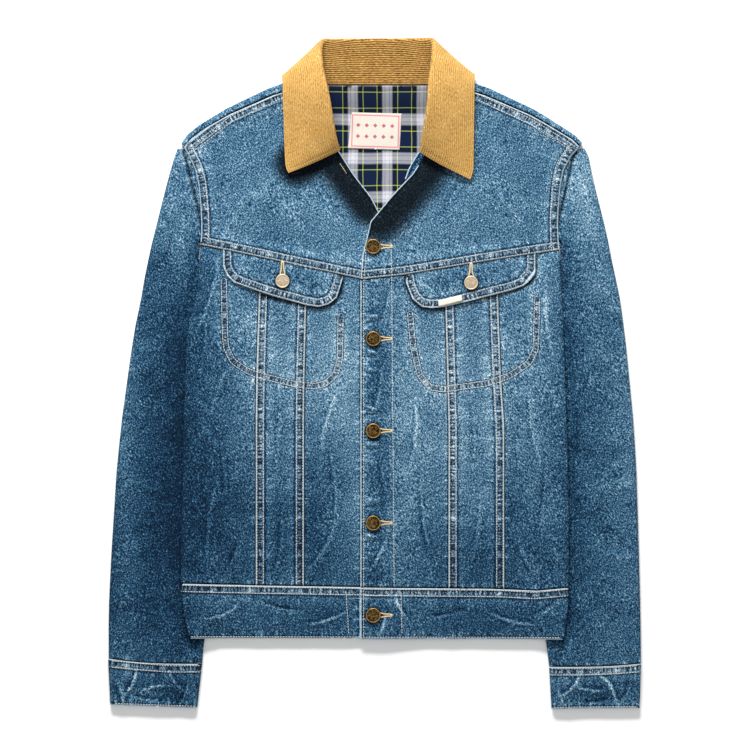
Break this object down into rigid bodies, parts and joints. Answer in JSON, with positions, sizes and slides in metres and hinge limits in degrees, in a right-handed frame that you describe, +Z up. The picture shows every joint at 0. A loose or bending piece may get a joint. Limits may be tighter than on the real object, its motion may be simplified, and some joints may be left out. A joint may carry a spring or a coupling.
{
  "type": "denim jacket",
  "caption": "Buttoned denim jacket laid flat, with a folded corduroy collar, flapped chest pockets, a waistband and cuffed sleeves.",
  "frame": {"origin": "centre of the footprint of the jacket as it lies, on the surface it rests on", "axes": "+X towards the wearer's left side, +Y towards the collar, +Z up, out of the jacket's front"},
  "size_m": [0.5964, 0.7509, 0.0312],
  "materials": {
    "denim": "stone-washed indigo twill, faded at the seams",
    "corduroy": "tan cotton corduroy with fine wales",
    "checked_lining": "brushed cotton check in navy, white and green-yellow",
    "woven_tape": "plain woven tape",
    "antique_brass": "dark antique brass, rubbed bright at the rim",
    "pale_brass": "pale worn brass"
  },
  "bodies": {
    "root": {"back_panel": "denim", "back_yoke": "denim", "back_lining": "checked_lining", "neck_label": "woven_tape", "front_yoke_right": "denim", "front_yoke_left": "denim", "front_centre_right": "denim", "front_centre_left": "denim", "front_middle_right": "denim", "front_middle_left": "denim", "front_side_right": "denim", "front_side_left": "denim", "pocket_flap_right": "denim", "pocket_flap_left": "denim", "flap_tab": "woven_tape", "waistband": "denim", "sleeve_top_right": "denim", "sleeve_under_right": "denim", "sleeve_top_left": "denim", "sleeve_under_left": "denim", "cuff_right": "denim", "cuff_left": "denim", "collar": "corduroy", "button_1": "antique_brass", "button_2": "antique_brass", "button_3": "antique_brass", "button_4": "antique_brass", "button_5": "antique_brass", "flap_button_right": "pale_brass", "flap_button_left": "pale_brass"}
  },
  "joints": []
}
